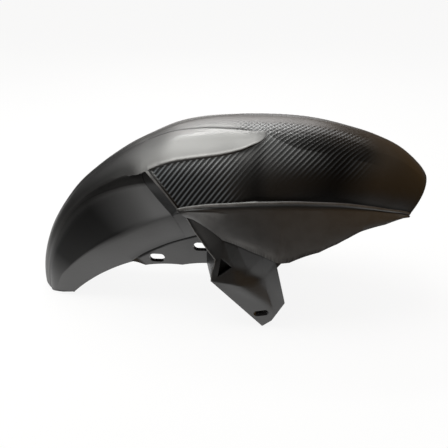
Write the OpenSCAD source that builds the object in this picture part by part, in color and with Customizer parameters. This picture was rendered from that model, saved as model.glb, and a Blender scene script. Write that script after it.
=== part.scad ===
// Front mudguard for a motorcycle, one moulded piece.
// +X is forward, +Z is up, and the right half mirrors the left half.
// Angles are turned about the wheel axle, from straight ahead up and over to the rear.

/* [Crown] */
// distance from the wheel axle to the crown shoulder
crown_r = 326; // [280:1:380]
// wall thickness of the moulding
wall = 2.8; // [2:0.1:4]
// height of the crown centre above its shoulders, at the front
crown_rise = 5; // [2:0.5:9]
// half width of the crown at its widest, between the shoulders
crown_half = 38; // [32:1:44]
// how far the crown lies below the raised blade beside it
crown_sink = 1; // [0.4:0.1:1.5]

/* [Front side] */
// half width over the skirt
front_half = 111; // [104:1:120]
// depth of the sunk side panel
panel_sink = 1.2; // [0.6:0.1:1.6]
// height of the border under the panel
border_h = 3.5; // [2.5:0.5:5]
// how far the border stands out at its foot
border_out = 1.6; // [0.5:0.1:2]

/* [Rear side] */
// half width at the rear crease
rear_half = 66; // [60:1:72]
// how far the chamfer below the shelf edge stands out
shelf_out = 6; // [5:0.5:8]
// how far the mounting pad sits inside the lower band
pad_sink = 4; // [2:0.5:5]

/* [Mounting holes] */
// length of the slots in the mounting pads
slot_len = 20.5; // [16:0.5:24]
// width of the slots in the mounting pads
slot_w = 11.5; // [8:0.5:13]
// thickness of the boss behind each slot
boss_t = 6; // [4:0.5:9]
// length of the slot at the tip of the leg guard
tip_slot_len = 19.5; // [14:0.5:21]
// width of the slot at the tip of the leg guard
tip_slot_w = 8; // [6:0.5:9]

/* [Leg guard] */
// depth of the pocket behind the three-sided window
pocket_d = 14; // [10:1:18]
// depth of the boss behind the slot at the tip
tip_boss = 15; // [10:1:18]

/* [Hidden] */
plastic = [0.20, 0.20, 0.19];

// Stations: angles where a cross-section is placed, nose first.
front_at = [49.8, 50.8, 52.5, 55.5, 59, 63, 67, 71, 75, 79, 82.5, 85.5, 88, 90.5, 93.5, 97, 100, 103,
            106, 109, 112, 114, 115.9];
rear_at = [116.6, 118.6, 121, 124, 127, 130, 133.5, 137, 138.5, 141, 144, 147.5, 151, 154.5, 158,
           161.5, 164.3];
stations = concat(front_at, rear_at);
fronts = len(front_at);
last_station = len(stations) - 1;

// Rows run from the crown centre, row 0, down one side.
rows = 15;
cols = 2 * rows + 1;
foot_row = 10;

// Heights of the rows as a drop below the shoulder radius, and half widths as a share.
// Each pair is an angle and a value.
shoulder_drop = [[48.5, 2], [52, -2.5], [57, -4.5], [63, -1.5], [70, 3.5], [77, 6.5], [85, 9.5],
                 [90, 10.5], [95, 9], [100, 6], [105, 3], [111, 0.5], [117, 0.5], [124, 0],
                 [130, -1], [136, -2], [142, -0.5], [149, 2], [154, 6], [161.5, 16], [164.3, 22]];
shoulder_share = [[48.5, 0.66], [52, 0.76], [57, 0.85], [63, 0.92], [72, 0.98], [80, 1], [90, 1],
                  [96, 0.87], [104, 0.64], [111, 0.45], [117, 0.33], [124, 0.3], [150, 0.3],
                  [164.3, 0.26]];
centre_share = [[48.5, 0.9], [60, 1.1], [88, 1], [91, 1.2], [104, 0.9], [117, 0.3], [150, 0.3],
                [164.3, 0.3]];

// Swell of the side below the shoulder, and how far down it the blade's edge runs.
side_swell = [[48.5, 5], [56, 8], [65, 12], [76, 14], [88, 12], [94, 12], [103.5, 16.5], [116, 21]];
blade_place = [[48.5, 0.3], [80, 0.27], [86, 0.12], [88.5, 0.07], [91, 0.17], [94, 0.28],
               [103.5, 0.45], [116, 0.5]];

// Shelf edge behind the step.
shelf_drop = [[117.4, 22], [120.6, 18], [126.7, 14], [135.2, 9.5], [142, 8.5], [150, 12], [157, 18],
              [164.3, 28]];
shelf_share = [[117.4, 1], [119.3, 0.96], [121, 0.915], [126.7, 0.78], [135.2, 0.62], [142, 0.55],
               [150, 0.49], [157, 0.45], [164.3, 0.41]];

// Panel foot in front of the step, crease behind it.
panel_drop = [[48.5, 33], [50.6, 36], [56, 46], [64.6, 59], [76.6, 73], [89, 80], [96, 81],
              [106.6, 77], [113, 74], [116, 74]];
panel_share = [[48.5, 0.53], [50.6, 0.56], [56, 0.65], [64.6, 0.74], [76.6, 0.81], [89, 0.845],
               [96, 0.845], [106.6, 0.835], [116, 0.82]];
crease_drop = [[104, 93], [116.5, 89], [124, 84], [133.4, 77], [142.8, 65], [153.8, 48],
               [158, 42], [164.3, 41]];
crease_share = [[104, 1], [116.5, 1], [124, 0.97], [133.4, 0.92], [142.8, 0.85], [153.8, 0.73],
                [158, 0.68], [164.3, 0.61]];

// Skirt foot in front of the step, band foot and pad foot behind it.
skirt_drop = [[48.5, 37], [49.2, 38], [50.7, 43], [53.9, 61], [58.9, 82], [60.9, 95],
              [63.3, 108], [67.5, 125], [76.6, 148], [79.5, 151], [82, 151], [92, 141],
              [101.7, 126], [109.3, 88], [111.3, 86], [116, 86]];
skirt_share = [[48.5, 0.56], [50.7, 0.63], [53.9, 0.72], [58.9, 0.82], [63.3, 0.89],
               [67.5, 0.94], [76.6, 0.99], [82, 1], [92, 0.955], [101.7, 0.9], [109.3, 0.842],
               [116, 0.825]];
band_drop = [[104, 128], [112, 127], [126, 119], [134, 113], [138.9, 110], [143.8, 99],
             [148.2, 90], [152.9, 80], [161, 62], [164.3, 58]];
band_share = [[104, 0.95], [126, 0.93], [134, 0.91], [143.8, 0.86], [152.9, 0.78], [161, 0.72],
              [164.3, 0.7]];
pad_drop = [[104, 170.5], [114.3, 170.5], [125, 158], [137.2, 128], [138.5, 113], [143.8, 102],
            [148.2, 93], [152.9, 83], [161, 65], [164.3, 61]];

// How far each row leans away from its station's angle.
step_lean = [0, 0, 0, 0, -0.65, -1.3, -1.1, 0.2, 1.6, 3, 3.1, 3.3, 3.6, 3.9, 4.2, 4.6];
foot_lean = [0, 0, 0, 0, 0.65, 1.3, 1.6, 1.7, 1.2, 0.6, 0, 0, 0, 0, 0, 0];
tail_lean = [1.6, 1.6, 1.3, 1.3, 0.9, 0.5, 0.5, 0.5, 0.5, 0.7, 1.1, 2, 3.2, 3.2, 3.2, 3.2];
lean_start = 92;
foot_end = 121;
tail_start = 150;
nose_end = 56;
nose_lean = -0.4;
blade_tip = 87.5;
blade_full = 92;
shelf_fade = 137;
shelf_full = 121;
pad_end = 138.5;
pad_full = 137;
swell_start = 116;
swell_end = 135;

function ramp(a, from, to) = min(1, max(0, (a - from) / (to - from)));
function mix(a, b, k) = a + (b - a) * k;
function polar(a, r, y) = [r * cos(a), y, r * sin(a)];

// angle of row j at station angle t
function row_angle(t, j) =
    t < (front_at[fronts - 1] + rear_at[0]) / 2
    ? t - step_lean[j] * pow(ramp(t, lean_start, front_at[fronts - 1]), 2)
        + nose_lean * ramp(t, nose_end, front_at[0]) * j / rows
    : t + foot_lean[j] * ramp(t, foot_end, rear_at[0])
        - tail_lean[j] * ramp(t, tail_start, rear_at[len(rear_at) - 1]);

function crown_top(a) = crown_r - lookup(a, shoulder_drop) + crown_rise * lookup(a, centre_share);
function shoulder(a) = [crown_half * lookup(a, shoulder_share), crown_r - lookup(a, shoulder_drop)];
function crown_dip(a) = crown_sink * ramp(a, 88.5, 91.5) * ramp(a, 119, 110);
function crown_mid(a) = let (s = shoulder(a)) [s[0] * 0.55, mix(crown_top(a), s[1], 0.3) - crown_dip(a)];
function crown_foot(a) =
    let (s = shoulder(a)) [s[0] * 0.97, mix(crown_top(a), s[1], 0.94) - crown_dip(a)];
function swell(p, q, k, bulge) =
    let (d = q - p, l = norm(d), n = [-d[1], d[0]] / l) [mix(p[0], q[0], k), mix(p[1], q[1], k)]
        + n * bulge * 4 * k * (1 - k);

// front rows as [half width, radius]
function sink(a) = panel_sink * ramp(a, blade_tip, blade_full);
function side(a, k) = swell(shoulder(a), border_top(a), k, lookup(a, side_swell));
function panel(a, k) = side(a, mix(lookup(a, blade_place), 1, k)) - sink(a) * [0.8, 0.6];
function border_top(a) = [front_half * lookup(a, panel_share), crown_r - lookup(a, panel_drop)];
function panel_foot(a) = let (p = border_top(a)) [p[0] - panel_sink, p[1] + 0.7];
function border_foot(a) = let (p = border_top(a)) [p[0] + border_out, p[1] - border_h];
function skirt_foot(a) = [front_half * lookup(a, skirt_share), crown_r - lookup(a, skirt_drop)];

// rear rows as [half width, radius]
function shelf_edge(a) = [rear_half * lookup(a, shelf_share), crown_r - lookup(a, shelf_drop)];
function chamfer(a) =
    let (k = ramp(a, shelf_fade, shelf_full)) [mix(4.5, shelf_out, k), -mix(4.5, 14.5, k)];
function lip_foot(a) = shelf_edge(a) + chamfer(a) * 0.5 + [0.3, 0.3];
function recess_top(a) = shelf_edge(a) + chamfer(a);
function crease(a) = [rear_half * lookup(a, crease_share), crown_r - lookup(a, crease_drop)];
function band_foot(a) = [rear_half * lookup(a, band_share), crown_r - lookup(a, band_drop)];
function pad_top(a) =
    let (p = band_foot(a), k = ramp(a, pad_end, pad_full)) [p[0] - mix(0.8, pad_sink, k), p[1] - 0.8];
function pad_foot(a) =
    let (p = pad_top(a)) [p[0] - 0.3, min(p[1] - 0.8, crown_r - lookup(a, pad_drop))];

function crown_row(j, a) =
    j == 0 ? [0, crown_top(a) - crown_dip(a)]
    : j == 1 ? crown_mid(a)
    : j == 2 ? crown_foot(a)
    : shoulder(a);

function front_row(j, a) =
    j < 4 ? crown_row(j, a)
    : j < 6 ? side(a, lookup(a, blade_place) * (j - 3) / 2)
    : j < 9 ? panel(a, 0.02 + (j - 6) / 3)
    : j == 9 ? panel_foot(a)
    : j == 10 ? border_top(a)
    : j == 11 ? border_foot(a)
    : swell(border_foot(a), skirt_foot(a), (j - 11) / 4, 1.5);

function rear_row(j, a) =
    j < 4 ? crown_row(j, a)
    : j == 4 ? swell(shoulder(a), shelf_edge(a), 0.5, mix(5.2, 2.5, ramp(a, swell_start, swell_end)))
    : j == 5 ? shelf_edge(a)
    : j == 6 ? lip_foot(a)
    : j == 7 ? recess_top(a)
    : j < 10 ? swell(recess_top(a), crease(a), (j - 7) / 3, 1.5)
    : j == 10 ? crease(a)
    : j == 11 ? swell(crease(a), band_foot(a), 0.5, 1)
    : j == 12 ? band_foot(a)
    : j == 13 ? pad_top(a)
    : j == 14 ? mix(pad_top(a), pad_foot(a), 0.5)
    : pad_foot(a);

function row_point(i, j) =
    let (a = row_angle(stations[i], j)) i < fronts ? front_row(j, a) : rear_row(j, a);

// section point moved inward by the wall, square to its neighbours
function inner_point(i, j) =
    let (p = row_point(i, j), q = j == 0 ? [-row_point(i, 1)[0], row_point(i, 1)[1]] : row_point(i, j - 1),
         r = j == rows ? p : row_point(i, j + 1), d = r - q)
    p + wall * [d[1], -d[0]] / norm(d);

function at_step(i) = i == fronts - 1 || i == fronts;
wall_turn = wall / crown_r * 75;

function skin_point(i, c, inside) =
    let (j = abs(c - rows), side = sign(c - rows), p = inside ? inner_point(i, j) : row_point(i, j),
         a = row_angle(stations[i], j) - (inside && at_step(i) ? wall_turn : 0))
    polar(a, p[1], side * p[0]);

function cell(i, c) =
    i >= 0 && i < last_station && c >= 0 && c < cols - 1
    && !(i == fronts - 1 && max(abs(c - rows), abs(c + 1 - rows)) > foot_row);

skin_outer = [for (i = [0 : last_station], c = [0 : cols - 1]) skin_point(i, c, false)];
skin_inner = [for (i = [0 : last_station], c = [0 : cols - 1]) skin_point(i, c, true)];
skin_count = len(skin_outer);

// faces of a walled sheet: outside, inside and the rim along every open edge
function cell_faces(a, b, d, e, n, open) = concat(
    [[a, b, d], [a, d, e], [a + n, d + n, b + n], [a + n, e + n, d + n]],
    open[0] ? [[b, a, a + n], [b, a + n, b + n]] : [],
    open[1] ? [[d, b, b + n], [d, b + n, d + n]] : [],
    open[2] ? [[e, d, d + n], [e, d + n, e + n]] : [],
    open[3] ? [[a, e, e + n], [a, e + n, a + n]] : []);

skin_faces = [for (i = [0 : last_station - 1], c = [0 : cols - 2]) if (cell(i, c))
    each cell_faces(i * cols + c, (i + 1) * cols + c, (i + 1) * cols + c + 1, i * cols + c + 1,
        skin_count, [!cell(i, c - 1), !cell(i + 1, c), !cell(i, c + 1), !cell(i - 1, c)])];

// Tongue: the lower band and pad carried forward inside the skirt.
tongue_at = [119.5, 117, 114.5, 112];
tongue_lean = [0, 0, 0, 0, 0, 0, 0, 0, 0, 0, 6, 5, 3.5, 3.2, 1.2, -2.3];
tongue_rows = rows - foot_row + 1;
tongue_gap = 0.2;
function tongue_angle(k, j) = tongue_at[k] - tongue_lean[j] * k / (len(tongue_at) - 1);
function tongue_point(k, j, depth) =
    let (a = tongue_angle(k, j), p = rear_row(j, a)) polar(a, p[1], p[0] - depth);
tongue_outer = [for (k = [0 : len(tongue_at) - 1], j = [foot_row : rows]) tongue_point(k, j, tongue_gap)];
tongue_inner = [for (k = [0 : len(tongue_at) - 1], j = [foot_row : rows])
    tongue_point(k, j, wall - tongue_gap)];
tongue_count = len(tongue_outer);
tongue_faces = [for (k = [0 : len(tongue_at) - 2], j = [0 : tongue_rows - 2])
    each cell_faces(k * tongue_rows + j, k * tongue_rows + j + 1, (k + 1) * tongue_rows + j + 1,
        (k + 1) * tongue_rows + j, tongue_count,
        [k == 0, j == tongue_rows - 2, k == len(tongue_at) - 2, j == 0])];

// Leg guard: corners as [angle, drop, share of the front half width].
tuck = 1.2;
lap = 5;
guard = [
    [111.3, 86, 0.826], [109.3, 88, 0.842], [105.5, 107, 0.871], [101.7, 126, 0.9],
    [97, 133.5, 0.928], [92, 141, 0.955], [87, 145.5, 0.978], [82, 150, 1], [79.5, 149, 1],
    [110.2, 110, 0.868], [108, 135.5, 0.905], [106.3, 148.6, 0.93], [106.8, 152.4, 0.945],
    [109.3, 163.1, 0.965], [110.8, 173.3, 0.99], [99.4, 182, 1.035], [95.9, 188, 1.04],
    [79.3, 216, 1.025], [83, 244.2, 0.99], [76.5, 232.5, 1.005], [72.5, 202, 1.03],
    [81, 157, 1.02], [93.1, 171, 0.95], [86.2, 179, 0.955], [76.1, 221, 1.01],
    [103.9, 148, 0.94], [100.2, 162, 0.952], [107.3, 170, 0.98]];
lap_count = 9;
guard_outer = concat(
    [for (g = guard) polar(g[0], crown_r - g[1], front_half * g[2] - tuck)],
    [for (k = [0 : lap_count - 1]) let (g = guard[k])
        polar(g[0], crown_r - g[1] + lap, front_half * g[2] - tuck - 0.4)]);
guard_count = len(guard_outer);
guard_inner = [for (p = guard_outer) p - [0, wall, 0]];
guard_sheet = concat(
    [for (k = [0 : lap_count - 2]) each [[28 + k, k, k + 1], [28 + k, k + 1, 29 + k]]],
    [[0, 9, 1], [1, 9, 2], [9, 10, 2], [2, 10, 3], [10, 11, 3], [11, 25, 3], [25, 26, 3],
     [3, 26, 4], [26, 22, 4], [4, 22, 5], [5, 22, 6], [22, 23, 6], [6, 23, 7], [23, 21, 7],
     [7, 21, 8], [11, 12, 25], [12, 27, 25], [12, 13, 27], [13, 14, 27], [27, 14, 15],
     [27, 15, 26], [26, 15, 22], [15, 16, 22], [22, 16, 23], [16, 17, 23], [17, 24, 23],
     [14, 16, 15], [14, 17, 16], [14, 18, 17], [18, 24, 17], [18, 19, 24], [19, 20, 24],
     [24, 20, 23], [23, 20, 21]]);
guard_edge = [[28, 0], [0, 9], [9, 10], [10, 11], [11, 12], [12, 13], [13, 14], [14, 18], [18, 19],
              [19, 20], [20, 21], [21, 8], [8, 36], [36, 35], [35, 34], [34, 33], [33, 32],
              [32, 31], [31, 30], [30, 29], [29, 28], [25, 27], [27, 26], [26, 25]];

// Where everything stands: the lowest corner on the floor, the length centred.
guard_tip = polar(guard[18][0], crown_r - guard[18][1], 0);
all_x = [for (p = skin_outer) p[0]];
all_z = concat([for (p = skin_outer) p[2]], [for (p = skin_inner) p[2]], [guard_tip[2]]);
shift = [-(max(all_x) + min(all_x)) / 2, 0, -min(all_z)];

slot_at = [[131.5, 130.5], [113.4, 146]];
tip_slot_at = [85.3, 224.5];
tip_slot_tilt = 14;
reach = 12;
$fn = 48;

module both_sides() {
    children();
    mirror([0, 1, 0]) children();
}

// a round-ended bar lying along X, its axis through the sheet along Y
module slot_bar(length, width, depth) {
    half = (length - width) / 2;
    for (side = [-1, 1])
        translate([side * half, 0, 0]) rotate([-90, 0, 0]) cylinder(h = depth, d = width);
    translate([-half, 0, -width / 2]) cube([2 * half, depth, width]);
}

module bosses() {
    for (s = slot_at) {
        p = pad_foot(s[0])[0];
        translate(polar(s[0], crown_r - s[1], p - wall - boss_t + 1))
            slot_bar(slot_len + 5, slot_w + 5, boss_t);
    }
    tip_bar(tip_slot_len + 5, tip_slot_w + 5, front_half - wall - tip_boss, tip_boss);
    window_block(1.4, 1.6, pocket_d);
}

module slots() {
    for (s = slot_at) {
        p = pad_foot(s[0])[0];
        translate(polar(s[0], crown_r - s[1], p - wall - boss_t - reach))
            slot_bar(slot_len, slot_w, boss_t + wall + 2 * reach);
    }
    tip_bar(tip_slot_len, tip_slot_w, front_half - wall - tip_boss - reach, tip_boss + 2 * reach);
    window_block(1, -reach, pocket_d - wall);
}

// web from the rear edge of the leg guard in to the front end of the pad
web_at = [[109.6, 131], [110.6, 141], [111.3, 148], [112.9, 159], [114.5, 169.5]];
web_half = 55.5;
web_corner = 10;

module web() {
    outer = [for (k = [0 : len(web_at) - 1])
        each [polar(web_at[k][0], crown_r - web_at[k][1], web_half),
            guard_outer[web_corner + k] - [0, 0.8, 0]]];
    inner = [for (p = outer) p + [wall, 0, 0]];
    last = len(web_at) - 2;
    polyhedron(points = concat(outer, inner), faces = [for (k = [0 : last])
        each cell_faces(2 * k, 2 * k + 2, 2 * k + 3, 2 * k + 1, len(outer),
            [true, k == last, true, k == 0])]);
}

// block with the outline of the window, grown about its centre
window = [for (k = [25 : 27]) guard_outer[k]];
module window_block(grow, from, to) {
    centre = (window[0] + window[1] + window[2]) / 3;
    polyhedron(
        points = [for (depth = [from, to], p = window) mix(centre, p, grow) - [0, depth, 0]],
        faces = [[0, 2, 1], [3, 4, 5], [0, 1, 4], [0, 4, 3], [1, 2, 5], [1, 5, 4], [2, 0, 3], [2, 3, 5]]);
}

module tip_bar(length, width, from, depth) {
    translate(polar(tip_slot_at[0], crown_r - tip_slot_at[1], from))
        rotate([0, -tip_slot_tilt, 0]) slot_bar(length, width, depth);
}

module leg_guard() {
    polyhedron(points = concat(guard_outer, guard_inner), faces = concat(
        guard_sheet,
        [for (f = guard_sheet) [f[2] + guard_count, f[1] + guard_count, f[0] + guard_count]],
        [for (e = guard_edge) each [[e[1], e[0], e[0] + guard_count],
            [e[1], e[0] + guard_count, e[1] + guard_count]]]));
}

module skin() {
    polyhedron(points = concat(skin_outer, skin_inner), faces = skin_faces);
}

module tongue() {
    polyhedron(points = concat(tongue_outer, tongue_inner), faces = tongue_faces);
}

module mudguard() {
    color(plastic) translate(shift) difference() {
        union() {
            skin();
            both_sides() {
                tongue();
                leg_guard();
                web();
                bosses();
            }
        }
        both_sides() slots();
    }
}

mudguard();
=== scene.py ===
import math
import bmesh
import bpy
import numpy as np
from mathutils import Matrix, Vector


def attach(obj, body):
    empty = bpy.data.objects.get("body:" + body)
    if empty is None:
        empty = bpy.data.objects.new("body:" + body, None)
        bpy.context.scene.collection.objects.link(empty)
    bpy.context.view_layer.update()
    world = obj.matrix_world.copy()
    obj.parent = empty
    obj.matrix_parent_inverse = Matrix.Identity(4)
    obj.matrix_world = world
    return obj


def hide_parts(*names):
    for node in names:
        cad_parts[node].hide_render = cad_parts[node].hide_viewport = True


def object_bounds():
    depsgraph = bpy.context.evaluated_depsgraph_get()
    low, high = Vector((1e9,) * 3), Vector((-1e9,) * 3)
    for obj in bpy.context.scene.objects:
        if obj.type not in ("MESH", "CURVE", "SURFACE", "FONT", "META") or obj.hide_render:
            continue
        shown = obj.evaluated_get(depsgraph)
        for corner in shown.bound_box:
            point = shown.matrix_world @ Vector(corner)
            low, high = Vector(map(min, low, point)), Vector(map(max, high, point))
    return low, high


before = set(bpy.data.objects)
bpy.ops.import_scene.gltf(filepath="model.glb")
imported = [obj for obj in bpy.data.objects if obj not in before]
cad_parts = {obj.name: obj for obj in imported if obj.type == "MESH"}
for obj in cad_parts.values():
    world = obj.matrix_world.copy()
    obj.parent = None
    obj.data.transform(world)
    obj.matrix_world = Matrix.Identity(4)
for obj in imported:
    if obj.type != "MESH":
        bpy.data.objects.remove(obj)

START_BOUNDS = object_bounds()
MM = 0.001
PIECE = "mudguard_shell"

# Sizes in millimetres, the same as in the source of the solid.
CROWN_R = 326.0  # the radius that every drop is measured from
WALL = 2.8
CROWN_RISE, CROWN_SINK = 5.0, 1.0
CROWN_HALF, FRONT_HALF, REAR_HALF = 38.0, 111.0, 66.0
PANEL_SINK = 1.2
BORDER_H, BORDER_OUT = 3.5, 1.6
SHELF_OUT = 6.0
PAD_SINK = 4.0
SLOT_LEN, SLOT_W = 20.5, 11.5
BOSS_T = 6.0
BOSS_MORE = 5.0  # a boss is longer and wider than its slot by this
TIP_SLOT_LEN, TIP_SLOT_W = 19.5, 8.0
TIP_BOSS = 15.0
POCKET_D = 14.0

# The object is drawn in millimetres around the axle, which is set further down.
AXLE = np.zeros(3)

# Angles around the axle in degrees, from straight ahead over the top to the rear.
NOSE_AT, FRONT_END = 49.8, 115.9
REAR_START, TAIL_AT = 116.6, 164.3
STEP_AT, STEP_WALL = (FRONT_END + REAR_START) / 2, WALL / CROWN_R * 75
RIM_AT = 114.7  # the raised rim behind the panel starts here
PAD_END = 138.4

# Softer forms that only the scene has, in millimetres.
SIDE_LEN = 90.0  # from the shoulder down to the border
BLADE_ROLL, BLADE_LIP = 0.03, 0.3  # the roll is a share of the blade's width
BEAD = 1.6
RIB_H, RIB_PITCH = 0.42, 6.75
RIB_STEEP, RIB_STEEPER, RIB_OPEN, RIB_LEVEL = 0.8, 0.09, 0.06, 182.0
SEEN_UP, SEEN_ACROSS = 0.906, 0.423  # the ribs run straight for an eye 25 degrees up
OPEN_FROM, OPEN_LEN = -60, 160  # along X, where the ribs become steeper and more open
TUCK = 0.9  # the guard lies this far inside the skirt
LAP_UP = 4.0
SOFTEN = 8  # rounds of relaxing the guard's facets
EDGE_R = 1.1

# What each point of the skin carries: its place in the weave, and three values for the look; the
# last is painted light, a painted highlight above 0 and painted shade below 0.
AHEAD, DOWN, STRENGTH, CROSS, LIGHT_AND_SHADE = range(5)
LAYERS = {"weave_strength": STRENGTH, "cross_strength": CROSS, "painted_light": LIGHT_AND_SHADE}

# Tables of (angle, value). A drop is in millimetres, a share is of the half width above.
TABLES = {
    "shoulder_drop": [(48.5, 2), (52, -2.5), (57, -4.5), (63, -1.5), (70, 3.5), (77, 6.5),
                      (85, 9.5), (90, 10.5), (95, 9), (100, 6), (105, 3), (111, 0.5), (117, 0.5),
                      (124, 0), (130, -1), (136, -2), (142, -0.5), (149, 2), (154, 6),
                      (161.5, 16), (164.3, 22)],
    "shoulder_share": [(48.5, 0.66), (52, 0.76), (57, 0.85), (63, 0.92), (72, 0.98), (80, 1),
                       (90, 1), (96, 0.87), (104, 0.64), (111, 0.45), (117, 0.33), (124, 0.3),
                       (150, 0.3), (164.3, 0.26)],
    "centre_share": [(48.5, 0.9), (60, 1.1), (88, 1), (91, 1.2), (104, 0.9), (117, 0.3),
                     (150, 0.3), (164.3, 0.3)],
    "side_swell": [(48.5, 5), (56, 8), (65, 12), (76, 14), (88, 12), (94, 12), (103.5, 16.5),
                   (116, 21), (123, 23.3)],
    "blade_place": [(48.5, 0.3), (80, 0.27), (86, 0.12), (88.3, 0.04), (88.9, 0.115), (90, 0.18),
                    (91.1, 0.218), (94, 0.315), (103.5, 0.455), (116, 0.5), (123, 0.525)],
    "shelf_drop": [(117.4, 22), (120.6, 18), (126.7, 14), (135.2, 9.5), (142, 8.5), (150, 12),
                   (157, 18), (164.3, 28)],
    "shelf_share": [(117.4, 1), (119.3, 0.96), (121, 0.915), (126.7, 0.78), (135.2, 0.62),
                    (142, 0.55), (150, 0.49), (157, 0.45), (164.3, 0.41)],
    "panel_drop": [(48.5, 33), (50.6, 36), (56, 46), (64.6, 59), (76.6, 73), (89, 80), (96, 81),
                   (106.6, 77), (113, 74), (116, 74)],
    "panel_share": [(48.5, 0.53), (50.6, 0.56), (56, 0.65), (64.6, 0.74), (76.6, 0.81),
                    (89, 0.845), (96, 0.845), (106.6, 0.835), (116, 0.82), (123, 0.812)],
    "crease_drop": [(104, 93), (116.5, 89), (124, 84), (133.4, 77), (142.8, 65), (153.8, 48),
                    (158, 42), (164.3, 41)],
    "crease_share": [(104, 1), (116.5, 1), (124, 0.97), (133.4, 0.92), (142.8, 0.85),
                     (153.8, 0.73), (158, 0.68), (164.3, 0.61)],
    "skirt_drop": [(48.5, 37), (49.2, 38), (50.7, 43), (53.9, 61), (58.9, 82), (60.9, 95),
                   (63.3, 108), (67.5, 125), (76.6, 148), (79.5, 151), (82, 151), (92, 141),
                   (101.7, 126), (109.3, 93), (111.3, 87), (116, 86)],
    "skirt_share": [(48.5, 0.56), (50.7, 0.63), (53.9, 0.72), (58.9, 0.82), (63.3, 0.89),
                    (67.5, 0.94), (76.6, 0.99), (82, 1), (92, 0.955), (101.7, 0.9),
                    (109.3, 0.848), (116, 0.825)],
    "band_drop": [(104, 128), (112, 127), (126, 119), (134, 113), (138.9, 110), (143.8, 99),
                  (148.2, 90), (152.9, 80), (161, 62), (164.3, 58)],
    "band_share": [(104, 0.95), (126, 0.93), (134, 0.91), (143.8, 0.86), (152.9, 0.78),
                   (161, 0.72), (164.3, 0.7)],
    "pad_drop": [(104, 170.5), (114.3, 170.5), (125, 158), (137.2, 128), (138.5, 113), (143.8, 102),
                 (148.2, 93), (152.9, 83), (161, 65), (164.3, 61)],
}
STRAIGHT = {"skirt_drop", "skirt_share", "pad_drop"}

# Rows of the section run from the crown's centre, 0, to the foot, 14. In front: 2 the shoulder,
# 4 the foot of the blade, 5 to 8 the panel, 9 and 10 the border, 14 the skirt's foot. Behind:
# 2 the shoulder, 4 the shelf's edge, 6 to 9 the recess, 9 the crease, 11 the band's foot, 12 to
# 14 the pad. A lean is how many degrees each row is turned at the step or at the tail.
ROWS = 14
ALL_ROWS = [float(j) for j in range(ROWS + 1)]
STEP_LEAN = [0, 0, 0, -0.65, -1.3, -1.1, 0.2, 1.6, 3, 3.1, 3.3, 3.6, 3.9, 4.2, 4.6]
FOOT_LEAN = [0, 0, 0, 0.65, 1.3, 1.6, 1.7, 1.2, 0.6, 0, 0, 0, 0, 0, 0]
TAIL_LEAN = [1.6, 1.6, 1.3, 0.9, 0.5, 0.5, 0.5, 0.5, 0.7, 1.1, 2, 3.2, 3.2, 3.2, 3.2]
TONGUE_ROWS, TONGUE_LEAN = [9, 10, 11, 12, 13, 14], [6, 5, 3.5, 3.2, 1.2, -2.3]

# Places as (angle, drop), and with a share of the front's half width for the guard.
SLOTS = [(131.5, 130.5), (113.4, 146.0)]
TIP_SLOT_AT, TIP_SLOT_TURN = (85.3, 224.5), math.radians(14)
WEB_AT = [(109.6, 131), (110.6, 141), (111.3, 148), (112.9, 159), (114.5, 169.5)]
WEB_HALF = 55.5
GUARD = [
    (111.3, 87, 0.826), (109.3, 93, 0.848), (105.5, 107, 0.871), (101.7, 126, 0.9),
    (97, 133.5, 0.928), (92, 141, 0.955), (87, 145.5, 0.978), (82, 150, 1), (79.3, 149, 1),
    (110.2, 110, 0.868), (108, 135.5, 0.905), (106.3, 148.6, 0.93), (106.8, 152.4, 0.945),
    (109.3, 163.1, 0.965), (110.8, 173.3, 0.99), (99.4, 182, 1.035), (95.9, 188, 1.04),
    (79.3, 216, 1.025), (83, 244.2, 0.99), (76.5, 232.5, 1.005), (72.5, 202, 1.03),
    (81, 157, 1.02), (93.1, 171, 0.95), (86.2, 179, 0.955), (76.1, 221, 1.01),
    (103.9, 148, 0.94), (100.2, 162, 0.952), (107.3, 170, 0.98)]
GUARD_FACES = [
    (0, 9, 1), (1, 9, 2), (9, 10, 2), (2, 10, 3), (10, 11, 3), (11, 25, 3), (25, 26, 3),
    (3, 26, 4), (26, 22, 4), (4, 22, 5), (5, 22, 6), (22, 23, 6), (6, 23, 7), (23, 21, 7),
    (7, 21, 8), (11, 12, 25), (12, 27, 25), (12, 13, 27), (13, 14, 27), (27, 14, 15),
    (27, 15, 26), (26, 15, 22), (15, 16, 22), (22, 16, 23), (16, 17, 23), (17, 24, 23),
    (14, 16, 15), (14, 17, 16), (14, 18, 17), (18, 24, 17), (18, 19, 24), (19, 20, 24),
    (24, 20, 23), (23, 20, 21)]
TOP_EDGE = GUARD[:9]  # along the skirt's foot
WEB_EDGE = GUARD[10:15]
REAR_EDGE = [GUARD[0]] + GUARD[9:15]
WINDOW = GUARD[25:28]
LOWEST = GUARD[18][:2]
SPLIT = 5  # pieces of each edge at the skirt's foot


# Curves and tables.
def smooth_table(points, at):
    """Value of a table at angles, as a monotone cubic through its points."""
    x = np.array([p[0] for p in points], float)
    y = np.array([p[1] for p in points], float)
    h, d = np.diff(x), np.diff(y) / np.diff(x)
    m = np.zeros_like(x)
    same = d[1:] * d[:-1] > 0
    w1, w2 = 2 * h[1:] + h[:-1], h[1:] + 2 * h[:-1]
    inner = np.zeros(len(d) - 1)
    inner[same] = (w1 + w2)[same] / (w1[same] / d[:-1][same] + w2[same] / d[1:][same])
    m[1:-1] = inner
    m[0], m[-1] = d[0], d[-1]
    at = np.clip(at, x[0], x[-1])
    i = np.clip(np.searchsorted(x, at) - 1, 0, len(h) - 1)
    t = (at - x[i]) / h[i]
    return ((1 + 2 * t) * (1 - t) ** 2 * y[i] + t * (1 - t) ** 2 * h[i] * m[i]
            + t * t * (3 - 2 * t) * y[i + 1] + t * t * (t - 1) * h[i] * m[i + 1])


def val(name, a):
    """Value of a named table at angles."""
    points = TABLES[name]
    if name in STRAIGHT:
        return np.interp(a, [p[0] for p in points], [p[1] for p in points])
    return smooth_table(points, a)


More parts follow.
